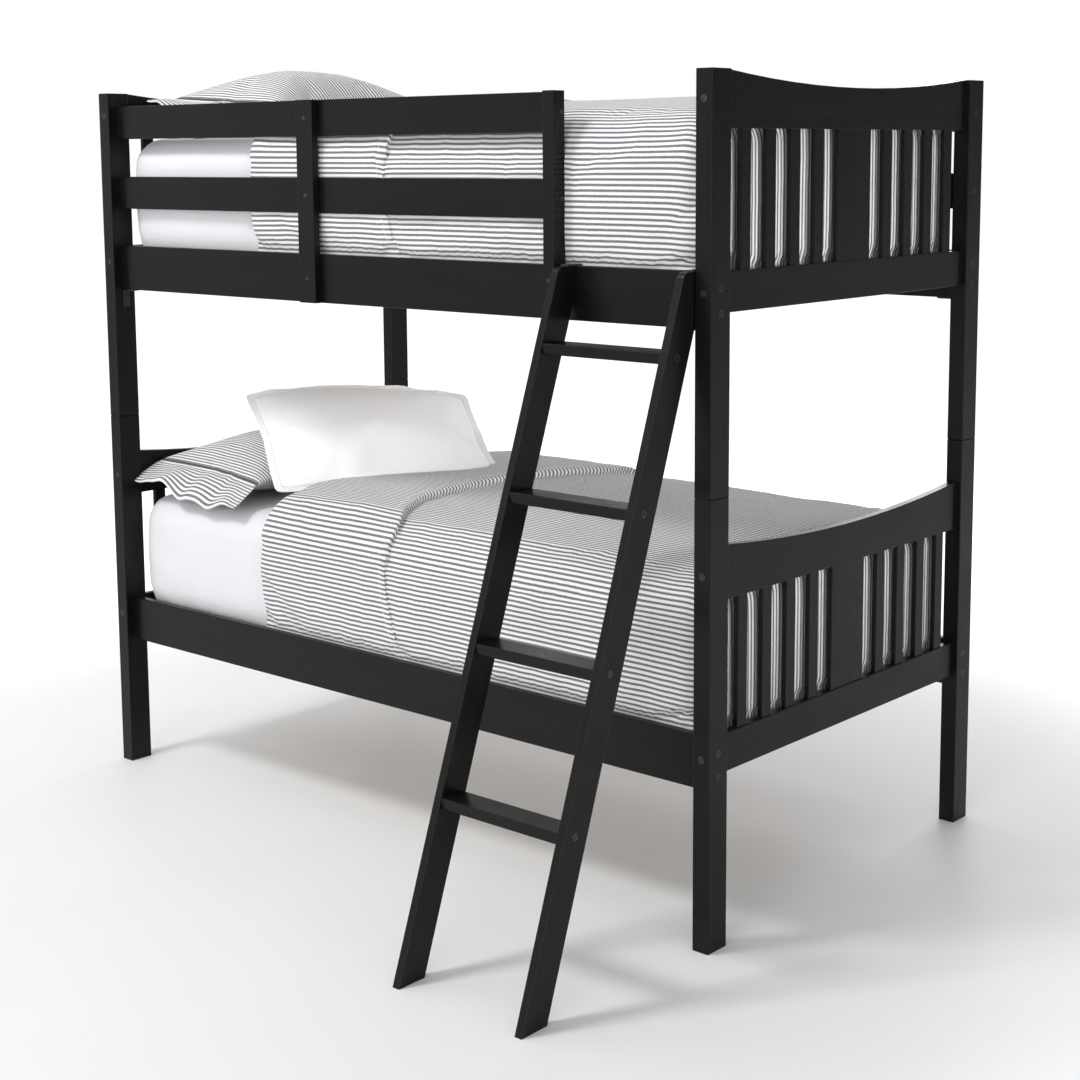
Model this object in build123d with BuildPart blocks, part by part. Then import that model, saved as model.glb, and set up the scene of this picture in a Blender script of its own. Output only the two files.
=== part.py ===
from build123d import *
import os
from math import cos, radians, sin

# Twin-over-twin bunk bed in painted wood with a leaning ladder, dressed with bedding.
# +X runs along the bed towards the foot end, -Y is the ladder side, +Z is up.
# The origin is at floor level under the centre of the whole footprint, ladder included.

# ---- overall sizes, millimetres ----
bed_length = 2008.0
bed_width = 1094.0
bed_height = 1823.0
ladder_reach = 533.0
split_height = 962.0
arris = 2.0

# ---- posts ----
post_x = 41.0
post_y = 65.0
pin_r = 6.0
pin_play = 0.4
pin_depth = 50.0
pin_end_gap = 4.0
pin_chamfer = 1.5
cut_past = 5.0
split_chamfer = 1.5
split_gap = 0.2

# ---- end panels; heights are from the foot of the bunk they belong to ----
panel_inset = 11.5
panel_t = 18.0
panel_top_z = 744.0
panel_top_h = 117.0
panel_top_sag = 28.0
panel_bottom_z = 375.0
panel_bottom_h = 84.0
slat_w = 35.0
slat_t = 12.0
centre_board_w = 134.0
slats_per_side = 4

# ---- side rails and mattress support ----
rail_setback = 25.0
rail_t = 19.0
rail_z = 343.0
rail_h = 117.0
ledger_t = 18.0
ledger_h = 40.0
ledger_end_gap = 6.0
support_z = 432.0
support_t = 19.0
support_w = 70.0
support_count = 13
support_pitch = 148.0
support_end_gap = 3.0

# ---- guards, heights above the floor ----
guard_top_z = 1703.0
guard_top_h = 85.5
guard_mid_z = 1520.0
guard_mid_h = 84.5
guard_board_t = 19.0
centre_upright_w = 57.0
centre_upright_from_foot = 1205.0
rear_upright_offset = 342.0
end_upright_w = 31.0
end_upright_from_foot = 434.0
end_upright_top = 1790.5

# ---- ladder ----
stile_t = 18.0
stile_depth = 73.4
ladder_slope = 0.3543
stile_top_r = 18.0
left_stile_from_foot = 392.0
right_stile_from_foot = 62.0
rung_count = 4
first_rung_top = 364.0
rung_pitch = 300.5
rung_h = 23.5
rung_depth = 63.5
rung_arris = 3.0
ladder_gap = 0.5
hook_t = 3.0
hook_drop = 22.0
hook_on_stile = 26.0
hook_back_gap = 0.8
hook_rest_gap = 0.3
hook_bend_r = 2.5
hook_screw_setback = 12.0
hook_screw_len = 28.0
hook_screw_head_t = 1.6

# ---- fasteners ----
bolt_r = 3.0
bolt_head_r = 7.0
bolt_head_t = 2.5
bolt_play = 0.1
bolt_end_gap = 1.0
socket_r = 2.6
socket_depth = 1.6
bolt_into_rail = 42.0
nut_r = 5.0
nut_len = 14.0
nut_from_end = 30.0
rail_bolt_spread = 50.0
screw_r = 2.0
screw_head_r = 4.5
screw_head_t = 2.0
screw_len = 34.0
bracket_t = 3.0
bracket_leg = 47.0
bracket_w = 20.0
bracket_post_hole = 0.62
bracket_rail_hole = 0.68

# ---- bedding ----
mattress_length = 1905.0
mattress_width = 966.0
mattress_h = 306.0
mattress_r = 32.0
duvet_side_t = 9.0
duvet_top_t = 34.0
duvet_foot_t = 7.0
duvet_gap = 2.5
duvet_from_foot = 1445.0
duvet_hem_z = 438.0
duvet_r = 30.0

# ---- derived places ----
head_x = -bed_length / 2
foot_x = bed_length / 2
front_y = (ladder_reach - bed_width) / 2
back_y = front_y + bed_width
mid_y = (front_y + back_y) / 2
inner_head_x = head_x + post_x
inner_foot_x = foot_x - post_x
rail_front_y = front_y + rail_setback
rail_back_y = back_y - rail_setback - rail_t
post_centres = [
    (x, y)
    for x in (head_x + post_x / 2, foot_x - post_x / 2)
    for y in (front_y + post_y / 2, back_y - post_y / 2)
]
panel_xs = (head_x + panel_inset, foot_x - panel_inset - panel_t)
panel_bolt_zs = (panel_top_z + panel_top_h / 2, panel_bottom_z + panel_bottom_h / 2)
rail_bolt_zs = (
    rail_z + rail_h / 2 - rail_bolt_spread / 2,
    rail_z + rail_h / 2 + rail_bolt_spread / 2,
)
guard_mid_centre = guard_mid_z + guard_mid_h / 2
guard_top_centre = guard_top_z + guard_top_h / 2
guard_zs = (guard_mid_centre, guard_top_centre)
front_rail_cy = rail_front_y + rail_t / 2
back_rail_cy = rail_back_y + rail_t / 2
rail_cys = (front_rail_cy, back_rail_cy)
rail_ends = ((inner_head_x, -1), (inner_foot_x, 1))
bunk_bases = {"lower": 0.0, "upper": split_height}
upper_rail_z = split_height + rail_z
front_board_y = rail_front_y - guard_board_t
end_upright_x = foot_x - end_upright_from_foot
end_upright_x0 = end_upright_x - end_upright_w / 2
end_upright_x1 = end_upright_x + end_upright_w / 2
centre_upright_x = foot_x - centre_upright_from_foot
rear_upright_xs = (-rear_upright_offset, rear_upright_offset)
rear_board_y = rail_back_y + rail_t
guard_bands = (
    (guard_mid_z, guard_mid_z + guard_mid_h),
    (guard_top_z, guard_top_z + guard_top_h),
)
upright_screw_zs = (upper_rail_z + rail_h / 2,) + guard_zs
end_screw_len = end_upright_w + bolt_into_rail
front_screws = [((centre_upright_x, front_board_y, z), (0, 1, 0)) for z in upright_screw_zs]
rear_screws = [
    ((x, rear_board_y + guard_board_t, z), (0, -1, 0))
    for x in rear_upright_xs
    for z in upright_screw_zs
]
end_rail_bolts = [
    ((end_upright_x, front_board_y, upper_rail_z + rail_h / 2 + dz), (0, 1, 0))
    for dz in (-rail_bolt_spread / 2, rail_bolt_spread / 2)
]
end_screws = [((end_upright_x1, front_rail_cy, z), (-1, 0, 0)) for z in guard_zs]

os.makedirs("parts", exist_ok=True)


def save(piece, name):
    """Label one finished piece and write its STEP file."""
    piece.part.label = name
    export_step(piece.part, f"parts/{name}.step")


def block(x0, x1, y0, y1, z0, z1, mode=Mode.ADD):
    """Plain box between two corners."""
    with Locations(((x0 + x1) / 2, (y0 + y1) / 2, (z0 + z1) / 2)):
        Box(x1 - x0, y1 - y0, z1 - z0, mode=mode)


def board_x(x0, x1, y0, y1, z0, z1, r=arris):
    """Board along X with its four long arrises rounded."""
    with BuildSketch(Plane.YZ.offset(x0)) as section:
        with Locations(((y0 + y1) / 2, (z0 + z1) / 2)):
            RectangleRounded(y1 - y0, z1 - z0, r)
    extrude(section.sketch, amount=x1 - x0)


def board_y(x0, x1, y0, y1, z0, z1, r=arris):
    """Board along Y with its four long arrises rounded."""
    with BuildSketch(Plane.ZX.offset(y0)) as section:
        with Locations(((z0 + z1) / 2, (x0 + x1) / 2)):
            RectangleRounded(z1 - z0, x1 - x0, r)
    extrude(section.sketch, amount=y1 - y0)


def board_z(x0, x1, y0, y1, z0, z1, r=arris):
    """Board standing along Z with its four long arrises rounded."""
    with BuildSketch(Plane.XY.offset(z0)) as section:
        with Locations(((x0 + x1) / 2, (y0 + y1) / 2)):
            RectangleRounded(x1 - x0, y1 - y0, r)
    extrude(section.sketch, amount=z1 - z0)


def rod(start, direction, length, radius, mode=Mode.ADD):
    """Round bar from a point along a direction."""
    with BuildSketch(Plane(origin=start, z_dir=direction)) as section:
        Circle(radius)
    extrude(section.sketch, amount=length, mode=mode)


def fastener(face_point, inward, length, radius, head_r, head_t, grow=0.0, mode=Mode.ADD):
    """Shank with a flat head sunk flush with the face; grow widens it into its own hole."""
    rod(face_point, inward, length, radius + grow, mode)
    rod(face_point, inward, head_t, head_r + grow, mode)


def side_bolt_places(zs, base):
    """Heads and directions of the bolts that hold rails lying along X to the posts."""
    places = []
    for end_x, side in rail_ends:
        for y in rail_cys:
            for z in zs:
                places.append(((end_x + side * post_x, y, base + z), (-side, 0, 0)))
    return places


def panel_bolt_places(base):
    """Heads and directions of the bolts that hold the end panels to the posts."""
    places = []
    for x in panel_xs:
        for y, side in ((front_y, 1), (back_y, -1)):
            for z in panel_bolt_zs:
                places.append(((x + panel_t / 2, y, base + z), (0, side, 0)))
    return places


def guard_bolt_places():
    """Bolts through the posts into the guard rails; none at the ladder opening."""
    places = []
    for z in guard_zs:
        places.append(((head_x, front_rail_cy, z), (1, 0, 0)))
        places.append(((head_x, back_rail_cy, z), (1, 0, 0)))
        places.append(((foot_x, back_rail_cy, z), (-1, 0, 0)))
    return places


def cut_bolts(places, depth):
    """Clearance holes for bolts, head recess included."""
    for point, inward in places:
        length = depth + bolt_into_rail
        fastener(point, inward, length, bolt_r, bolt_head_r, bolt_head_t, bolt_play, Mode.SUBTRACT)


def add_bolts(places, length):
    """Bolts with sunk heads and a hexagon socket."""
    for point, inward in places:
        fastener(point, inward, length, bolt_r, bolt_head_r, bolt_head_t)
        with BuildSketch(Plane(origin=point, z_dir=inward)) as socket:
            RegularPolygon(socket_r, 6)
        extrude(socket.sketch, amount=socket_depth, mode=Mode.SUBTRACT)


def cut_screws(places, length):
    """Screw holes with the head recess."""
    for point, inward in places:
        fastener(point, inward, length, screw_r, screw_head_r, screw_head_t, 0.0, Mode.SUBTRACT)


def add_screws(places, length):
    """Screws with sunk heads."""
    for point, inward in places:
        fastener(point, inward, length, screw_r, screw_head_r, screw_head_t)


def nut_places(places, depth):
    """Barrel nut axes, across the rail, on each bolt's line."""
    result = []
    for (x, y, z), (dx, dy, _) in places:
        reach = depth + nut_from_end
        result.append(((x + dx * reach, y + dy * reach, z), dx != 0))
    return result


def barrel_nuts(places, depth, mode=Mode.ADD):
    """Barrel nuts with the bolt's own hole through them; subtracting leaves their seats."""
    for (x, y, z), along_x in nut_places(places, depth):
        start = (x, y - nut_len / 2, z) if along_x else (x - nut_len / 2, y, z)
        rod(start, (0, 1, 0) if along_x else (1, 0, 0), nut_len, nut_r, mode)


def curved_top_board(x0, z0):
    """Head or foot rail whose upper edge dips in a shallow arc."""
    half = bed_width / 2 - post_y
    with BuildSketch(Plane.YZ.offset(x0)) as outline:
        with BuildLine():
            left = (mid_y - half, z0)
            right = (mid_y + half, z0)
            Line(left, right)
            Line(right, (mid_y + half, z0 + panel_top_h))
            ThreePointArc(
                (mid_y + half, z0 + panel_top_h),
                (mid_y, z0 + panel_top_h - panel_top_sag),
                (mid_y - half, z0 + panel_top_h),
            )
            Line((mid_y - half, z0 + panel_top_h), left)
        make_face()
    extrude(outline.sketch, amount=panel_t)


# spacing of the panel slats: equal gaps between posts, slats and the wide centre board
panel_clear = bed_width - 2 * post_y
slat_total = 2 * slats_per_side * slat_w + centre_board_w
slat_gap = (panel_clear - slat_total) / (2 * slats_per_side + 2)
slat_pitch = slat_w + slat_gap
slat_centres = []
for i in range(slats_per_side):
    from_mid = centre_board_w / 2 + slat_gap + slat_w / 2 + i * slat_pitch
    slat_centres.append(mid_y - from_mid)
    slat_centres.append(mid_y + from_mid)
slat_z0 = panel_bottom_z + panel_bottom_h
support_xs = [(i - (support_count - 1) / 2) * support_pitch for i in range(support_count)]
support_y0 = rail_front_y + rail_t + support_end_gap
support_y1 = rail_back_y - support_end_gap
ledger_ys = (rail_front_y + rail_t, rail_back_y - ledger_t)
ledger_top = support_z - support_t
support_screws = [(x, y + ledger_t / 2) for x in support_xs for y in ledger_ys]

for bunk, base in bunk_bases.items():
    lower = bunk == "lower"
    post_z0 = 0.0 if lower else split_height + split_gap
    post_z1 = split_height if lower else bed_height
    guard_places = [] if lower else guard_bolt_places()
    rail_places = side_bolt_places(rail_bolt_zs, base)
    end_places = panel_bolt_places(base)

    # posts, chamfered at the split and bored for the steel joining pins
    with BuildPart() as posts:
        for cx, cy in post_centres:
            board_z(cx - post_x / 2, cx + post_x / 2, cy - post_y / 2, cy + post_y / 2, post_z0, post_z1)
        ends = posts.faces().filter_by(Axis.Z).group_by(Axis.Z)[-1 if lower else 0]
        chamfer(ends.edges(), split_chamfer)
        for cx, cy in post_centres:
            if lower:
                rod((cx, cy, post_z1 - pin_depth - pin_end_gap), (0, 0, 1), pin_depth + pin_end_gap + cut_past, pin_r, Mode.SUBTRACT)
            else:
                rod((cx, cy, post_z0 - cut_past), (0, 0, 1), pin_depth + pin_end_gap + cut_past, pin_r + pin_play, Mode.SUBTRACT)
        cut_bolts(rail_places + guard_places, post_x)
        cut_bolts(end_places, post_y)
    save(posts, f"{bunk}_posts")

    # end panels: curved top rail, straight bottom rail, slats and the wide board between them
    with BuildPart() as top_rails:
        for x in panel_xs:
            curved_top_board(x, base + panel_top_z)
        cut_bolts(end_places, post_y)
        barrel_nuts(end_places, post_y, Mode.SUBTRACT)
    save(top_rails, f"{bunk}_panel_top_rails")

    with BuildPart() as bottom_rails:
        z0 = base + panel_bottom_z
        for x in panel_xs:
            board_y(x, x + panel_t, front_y + post_y, back_y - post_y, z0, z0 + panel_bottom_h)
        cut_bolts(end_places, post_y)
        barrel_nuts(end_places, post_y, Mode.SUBTRACT)
    save(bottom_rails, f"{bunk}_panel_bottom_rails")

    with BuildPart() as slats:
        for x in panel_xs:
            x0 = x + (panel_t - slat_t) / 2
            for y in slat_centres:
                board_z(
                    x0, x0 + slat_t, y - slat_w / 2, y + slat_w / 2,
                    base + slat_z0, base + panel_top_z,
                )
    save(slats, f"{bunk}_panel_slats")

    with BuildPart() as centre_boards:
        for x in panel_xs:
            x0 = x + (panel_t - slat_t) / 2
            y0 = mid_y - centre_board_w / 2
            board_z(
                x0, x0 + slat_t, y0, y0 + centre_board_w,
                base + slat_z0, base + panel_top_z,
            )
    save(centre_boards, f"{bunk}_panel_centre_boards")

    # side rails with their ledgers and the slats that carry the mattress
    with BuildPart() as side_rails:
        for y in (rail_front_y, rail_back_y):
            board_x(inner_head_x, inner_foot_x, y, y + rail_t, base + rail_z, base + rail_z + rail_h)
        cut_bolts(rail_places, post_x)
        barrel_nuts(rail_places, post_x, Mode.SUBTRACT)
        if not lower:
            cut_screws(front_screws + rear_screws + end_rail_bolts, screw_len)
    save(side_rails, f"{bunk}_side_rails")

    with BuildPart() as ledgers:
        for y in ledger_ys:
            board_x(
                inner_head_x + ledger_end_gap, inner_foot_x - ledger_end_gap,
                y, y + ledger_t, base + ledger_top - ledger_h, base + ledger_top,
            )
        for x, y in support_screws:
            rod((x, y, base + support_z), (0, 0, -1), screw_len, screw_r, Mode.SUBTRACT)
    save(ledgers, f"{bunk}_ledgers")

    with BuildPart() as supports:
        for x in support_xs:
            board_y(
                x - support_w / 2, x + support_w / 2, support_y0, support_y1,
                base + support_z - support_t, base + support_z,
            )
        for x, y in support_screws:
            fastener(
                (x, y, base + support_z), (0, 0, -1), screw_len,
                screw_r, screw_head_r, screw_head_t, 0.0, Mode.SUBTRACT,
            )
    save(supports, f"{bunk}_mattress_slats")

    with BuildPart() as support_screws_part:
        for x, y in support_screws:
            fastener((x, y, base + support_z), (0, 0, -1), screw_len, screw_r, screw_head_r, screw_head_t)
    save(support_screws_part, f"{bunk}_slat_screws")

    # connector bolts and their barrel nuts
    with BuildPart() as panel_bolts:
        add_bolts(end_places, post_y + bolt_into_rail - bolt_end_gap)
    save(panel_bolts, f"{bunk}_panel_bolts")

    with BuildPart() as rail_bolts:
        add_bolts(rail_places + guard_places, post_x + bolt_into_rail - bolt_end_gap)
    save(rail_bolts, f"{bunk}_rail_bolts")

    with BuildPart() as nuts:
        barrel_nuts(end_places, post_y)
        barrel_nuts(rail_places + guard_places, post_x)
        cut_bolts(end_places, post_y)
        cut_bolts(rail_places + guard_places, post_x)
    save(nuts, f"{bunk}_barrel_nuts")

    # mattress in its fitted sheet
    with BuildPart() as mattress:
        block(
            -mattress_length / 2, mattress_length / 2,
            mid_y - mattress_width / 2, mid_y + mattress_width / 2,
            base + support_z, base + support_z + mattress_h,
        )
        fillet(mattress.edges().filter_by(Axis.Z), mattress_r)
        fillet(mattress.faces().sort_by(Axis.Z)[-1].edges(), mattress_r)
    save(mattress, f"{bunk}_mattress")

    # comforter over the mattress: top, both long sides and the foot
    with BuildPart() as comforter:
        foot_face = mattress_length / 2 + duvet_gap - 1
        side_face = mattress_width / 2 + duvet_gap
        under = base + support_z + mattress_h + duvet_gap
        block(
            foot_x - duvet_from_foot, foot_face + duvet_foot_t,
            mid_y - side_face - duvet_side_t, mid_y + side_face + duvet_side_t,
            base + duvet_hem_z, under + duvet_top_t,
        )
        long_top = comforter.faces().sort_by(Axis.Z)[-1].edges()
        fillet(long_top.filter_by(Axis.X), duvet_r)
        block(
            foot_x - duvet_from_foot - 1, foot_face,
            mid_y - side_face, mid_y + side_face,
            base + duvet_hem_z - 1, under, Mode.SUBTRACT,
        )
    save(comforter, f"{bunk}_comforter")

# steel pins that join the upper posts to the lower ones
with BuildPart() as joining_pins:
    for cx, cy in post_centres:
        rod((cx, cy, split_height - pin_depth), (0, 0, 1), 2 * pin_depth, pin_r)
    tips = joining_pins.faces().filter_by(Axis.Z).group_by(Axis.Z)[-1]
    chamfer(tips.edges(), pin_chamfer)
save(joining_pins, "joining_pins")

# ---- guards of the upper bunk ----
with BuildPart() as front_guard:
    for z0, z1 in guard_bands:
        board_x(inner_head_x, end_upright_x0, rail_front_y, rail_front_y + rail_t, z0, z1)
    cut_bolts(guard_bolt_places(), post_x)
    barrel_nuts(guard_bolt_places(), post_x, Mode.SUBTRACT)
    cut_screws(front_screws, screw_len)
    cut_screws(end_screws, end_screw_len)
save(front_guard, "front_guard_rails")

with BuildPart() as rear_guard:
    for z0, z1 in guard_bands:
        board_x(inner_head_x, inner_foot_x, rail_back_y, rail_back_y + rail_t, z0, z1)
    cut_bolts(guard_bolt_places(), post_x)
    barrel_nuts(guard_bolt_places(), post_x, Mode.SUBTRACT)
    cut_screws(rear_screws, screw_len)
save(rear_guard, "rear_guard_rails")

with BuildPart() as centre_upright:
    board_z(
        centre_upright_x - centre_upright_w / 2, centre_upright_x + centre_upright_w / 2,
        front_board_y, rail_front_y, upper_rail_z, guard_top_z + guard_top_h,
    )
    cut_screws(front_screws, screw_len)
save(centre_upright, "front_guard_centre_upright")

# end upright: full depth beside the guard rails, cut back to lap the side rail's face
with BuildPart() as end_upright:
    board_z(
        end_upright_x0, end_upright_x1, front_board_y, rail_front_y + rail_t,
        upper_rail_z, end_upright_top,
    )
    block(
        end_upright_x0 - 1, end_upright_x1 + 1, rail_front_y, rail_front_y + rail_t + 1,
        upper_rail_z - 1, upper_rail_z + rail_h, Mode.SUBTRACT,
    )
    cut_screws(end_rail_bolts, screw_len)
    cut_screws(end_screws, end_screw_len)
save(end_upright, "front_guard_end_upright")

with BuildPart() as rear_uprights:
    for x in rear_upright_xs:
        board_z(
            x - centre_upright_w / 2, x + centre_upright_w / 2,
            rear_board_y, rear_board_y + guard_board_t, upper_rail_z, guard_top_z + guard_top_h,
        )
    cut_screws(rear_screws, screw_len)
save(rear_uprights, "rear_guard_uprights")

with BuildPart() as guard_screws:
    add_screws(front_screws + rear_screws + end_rail_bolts, screw_len)
    add_screws(end_screws, end_screw_len)
save(guard_screws, "guard_screws")

# steel angles under the ends of the upper side rails
bracket_screw_len = 16.0
bracket_screws = []
for end_x, side in rail_ends:
    for cy in rail_cys:
        post_screw = (end_x - side * bracket_t, cy, upper_rail_z - bracket_leg * bracket_post_hole)
        rail_screw = (end_x - side * bracket_leg * bracket_rail_hole, cy, upper_rail_z - bracket_t)
        bracket_screws.append((post_screw, (side, 0, 0)))
        bracket_screws.append((rail_screw, (0, 0, 1)))

with BuildPart() as brackets:
    for end_x, side in rail_ends:
        for cy in rail_cys:
            y0 = cy - bracket_w / 2
            y1 = cy + bracket_w / 2
            leg_x = sorted((end_x, end_x - side * bracket_t))
            foot_leg_x = sorted((end_x, end_x - side * bracket_leg))
            block(leg_x[0], leg_x[1], y0, y1, upper_rail_z - bracket_leg, upper_rail_z)
            block(foot_leg_x[0], foot_leg_x[1], y0, y1, upper_rail_z - bracket_t, upper_rail_z)
    for point, inward in bracket_screws:
        rod(point, inward, bracket_t, screw_r, Mode.SUBTRACT)
save(brackets, "rail_brackets")

# ---- ladder ----
stile_x0s = (foot_x - left_stile_from_foot, foot_x - right_stile_from_foot)
ladder_front = -(bed_width + ladder_reach) / 2
ladder_cut_y = rail_front_y - ladder_gap
stile_top_z = upper_rail_z + rail_h + hook_rest_gap
rung_tops = [first_rung_top + i * rung_pitch for i in range(rung_count)]
rung_x0 = stile_x0s[0] + stile_t
rung_x1 = stile_x0s[1]
rung_screw_len = stile_t + bolt_into_rail
rung_screws = []
for top in rung_tops:
    y = ladder_front + ladder_slope * top + rung_depth / 2
    rung_screws.append(((stile_x0s[0], y, top - rung_h / 2), (1, 0, 0)))
    rung_screws.append(((stile_x0s[1] + stile_t, y, top - rung_h / 2), (-1, 0, 0)))
hook_screws = [
    ((x + stile_t / 2, ladder_cut_y - hook_screw_setback, stile_top_z + hook_t), (0, 0, -1)) for x in stile_x0s
]

with BuildPart() as stiles:
    for x in stile_x0s:
        with BuildSketch(Plane.YZ.offset(x)):
            with BuildLine():
                front_top_y = ladder_front + ladder_slope * stile_top_z
                back_foot_y = ladder_front + stile_depth
                cut_z = (ladder_cut_y - back_foot_y) / ladder_slope
                Polyline(
                    (ladder_front, 0),
                    (back_foot_y, 0),
                    (ladder_cut_y, cut_z),
                    (ladder_cut_y, stile_top_z),
                    (front_top_y, stile_top_z),
                    close=True,
                )
            make_face()
        extrude(amount=stile_t)
    top_fronts = (
        stiles.edges()
        .filter_by(Axis.X)
        .filter_by(lambda e: abs(e.center().Z - stile_top_z) < 1 and e.center().Y < ladder_cut_y - 5)
    )
    fillet(top_fronts, stile_top_r)
    for point, inward in rung_screws:
        fastener(point, inward, rung_screw_len, bolt_r, bolt_head_r, bolt_head_t, bolt_play, Mode.SUBTRACT)
    for point, inward in hook_screws:
        rod(point, inward, screw_len, screw_r, Mode.SUBTRACT)
save(stiles, "ladder_stiles")

with BuildPart() as rungs:
    for top in rung_tops:
        y0 = ladder_front + ladder_slope * top
        board_x(rung_x0, rung_x1, y0, y0 + rung_depth, top - rung_h, top, rung_arris)
    for point, inward in rung_screws:
        rod(point, inward, rung_screw_len, bolt_r + bolt_play, Mode.SUBTRACT)
save(rungs, "ladder_rungs")

with BuildPart() as rung_bolts:
    add_bolts(rung_screws, rung_screw_len - bolt_end_gap)
save(rung_bolts, "ladder_bolts")

# bent steel straps: screwed on the stile tops, over the rail and down behind it
hook_leg_y = rail_front_y + rail_t + hook_back_gap
with BuildPart() as hooks:
    for x in stile_x0s:
        z0 = stile_top_z
        block(x, x + stile_t, ladder_cut_y - hook_on_stile, hook_leg_y + hook_t, z0, z0 + hook_t)
        block(x, x + stile_t, hook_leg_y, hook_leg_y + hook_t, z0 - hook_drop, z0 + hook_t)
    bends = (
        hooks.edges()
        .filter_by(Axis.X)
        .filter_by(lambda e: e.center().Z > stile_top_z + 1 and e.center().Y > hook_leg_y)
    )
    fillet(bends, hook_bend_r)
    for point, inward in hook_screws:
        rod(point, inward, hook_t, screw_r, Mode.SUBTRACT)
save(hooks, "ladder_hooks")

with BuildPart() as strap_screws:
    for point, inward in hook_screws:
        rod(point, inward, hook_screw_len, screw_r)
        rod(point, (0, 0, 1), hook_screw_head_t, screw_head_r)
save(strap_screws, "ladder_hook_screws")

# ---- pillows ----
# Each is a flat rounded block: width along its first direction, height along its second.


def pillow_plane(centre, turn, lean):
    """Plane of a pillow turned about Z and leaned back from lying flat."""
    across = (cos(radians(turn)), sin(radians(turn)), 0)
    back = Vector(-sin(radians(turn)), cos(radians(turn)), 0)
    rise = Vector(0, 0, 1)
    up = back * cos(radians(lean)) + rise * sin(radians(lean))
    normal = Vector(*across).cross(up)
    return Plane(origin=centre, x_dir=across, z_dir=(normal.X, normal.Y, normal.Z))


def pillow_block(plane, width, height, thick, grow=0.0, mode=Mode.ADD):
    """Rounded block centred on a plane."""
    with BuildSketch(plane.offset(-thick / 2 - grow)) as outline:
        RectangleRounded(width + 2 * grow, height + 2 * grow, pillow_corner_r)
    extrude(outline.sketch, amount=thick + 2 * grow, mode=mode)


soft_r = 26.0
pillow_corner_r = 45.0
white_turn = 67.0
white_lean = 27.0
white_size = (640.0, 430.0, 80.0)
white_plane = pillow_plane((-561.0, 299.0, 908.0), white_turn, white_lean)
striped_size = (620.0, 430.0, 150.0)
striped_turn = 90.0
striped_lean = 5.0
striped_x = -745.0
striped_lift = 98.0
striped_shift = {"lower": -172.0, "upper": -120.0}
pillow_play = 4.0

with BuildPart() as white_pillow:
    pillow_block(white_plane, *white_size)
    rim = white_pillow.faces().filter_by(lambda f: abs(f.normal_at().dot(white_plane.z_dir)) > 0.99)
    fillet(rim.edges(), soft_r)
save(white_pillow, "lower_white_pillow")

for bunk, base in bunk_bases.items():
    centre_z = base + support_z + mattress_h + striped_lift
    lean_plane = pillow_plane((striped_x, mid_y + striped_shift[bunk], centre_z), striped_turn, striped_lean)
    with BuildPart() as striped_pillow:
        pillow_block(lean_plane, *striped_size)
        rim = striped_pillow.faces().filter_by(lambda f: abs(f.normal_at().dot(lean_plane.z_dir)) > 0.99)
        fillet(rim.edges(), soft_r)
        if bunk == "lower":
            # pressed down where the white pillow leans on it
            pillow_block(white_plane, *white_size, pillow_play, Mode.SUBTRACT)
            pillow_block(white_plane.offset(white_size[2]), *white_size, pillow_play, Mode.SUBTRACT)
    save(striped_pillow, f"{bunk}_striped_pillow")
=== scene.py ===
import math

import bpy
import numpy as np
from mathutils import Matrix, Vector, noise


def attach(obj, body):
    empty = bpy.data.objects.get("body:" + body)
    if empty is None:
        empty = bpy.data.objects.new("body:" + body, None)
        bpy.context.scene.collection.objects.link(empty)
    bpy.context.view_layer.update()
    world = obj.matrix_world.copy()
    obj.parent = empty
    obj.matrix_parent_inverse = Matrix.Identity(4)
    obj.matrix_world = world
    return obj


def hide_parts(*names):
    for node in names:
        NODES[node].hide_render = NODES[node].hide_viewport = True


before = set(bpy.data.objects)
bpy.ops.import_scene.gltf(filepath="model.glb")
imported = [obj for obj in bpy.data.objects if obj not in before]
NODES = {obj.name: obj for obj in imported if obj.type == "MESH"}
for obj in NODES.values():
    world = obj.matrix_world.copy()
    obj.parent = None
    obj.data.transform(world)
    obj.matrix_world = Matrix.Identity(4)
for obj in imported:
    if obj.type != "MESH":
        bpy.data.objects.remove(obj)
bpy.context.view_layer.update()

# ---------------------------------------------------------------- sizes, in metres
UPPER = 0.962                      # how far the upper bunk stands above the lower one
BASE = {"lower": 0.0, "upper": UPPER}
MIDDLE = 0.2665                    # the bed's centre line across
BED_NEAR, BED_FAR = -0.2165, 0.7495
BED_HEAD, BED_FOOT = -0.9525, 0.9525
BED_UNDER, BED_TOP = 0.432, 0.738
RAIL_TOP, RAIL_ROOM = 0.4645, 0.0175   # top of the side rails, and the room between them and the bed

SHEET_HEAD, SHEET_NEAR = BED_HEAD - 0.010, BED_NEAR - 0.001
SHEET_EDGE = 0.072                 # rounding of the mattress in its sheet

COVER_EDGE = 0.066                 # rounding of the comforter over the mattress edge
COVER_FOOT = 0.9600
COVER_UNDER = 0.442                # how far down its sides reach between the rails and the mattress
COVER_LOFT = 0.027
COVER_CROWN = {"lower": 0.026, "upper": 0.044}   # rise of the cover's middle above its sides
COVER_NEAR_MOST, COVER_FAR_MOST, COVER_FOOT_MOST = -0.2490, 0.7820, 0.9720
SIDE_STEPS = 24
FOLD_STEPS, FLAP_STEPS, LAID_STEPS = 6, 38, 77
STRIPE_PITCH = 0.0117

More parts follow.
